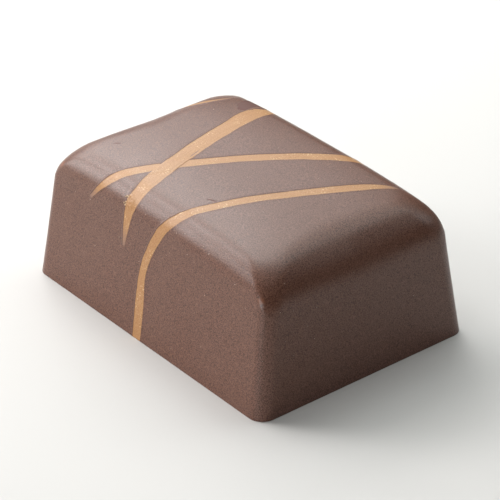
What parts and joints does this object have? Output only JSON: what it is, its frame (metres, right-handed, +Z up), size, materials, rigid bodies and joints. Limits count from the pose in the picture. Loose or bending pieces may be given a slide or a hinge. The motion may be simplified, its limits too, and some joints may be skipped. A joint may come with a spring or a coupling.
{
  "type": "chocolate bonbon",
  "caption": "Oblong moulded chocolate bonbon with drafted walls, a pillowed top, soft top edges and thin caramel-coloured strokes; it rests on its flat foot and is eaten by hand.",
  "frame": {"origin": "middle of the flat underside", "axes": "+X along the long side, +Y along the short side, +Z up through the pillowed top; the broad stroke's brush tip is on the -Y side"},
  "size_m": [0.034, 0.0244, 0.0143],
  "materials": {
    "milk_chocolate": "tempered milk chocolate released from a smooth mould: satin, softly reflecting, with a fine matt grain",
    "cocoa_butter": "caramel-coloured cocoa butter brushed on in thin strokes: satin, opaque, with a fine shimmer"
  },
  "bodies": {
    "root": {"bonbon": "milk_chocolate"}
  },
  "joints": []
}
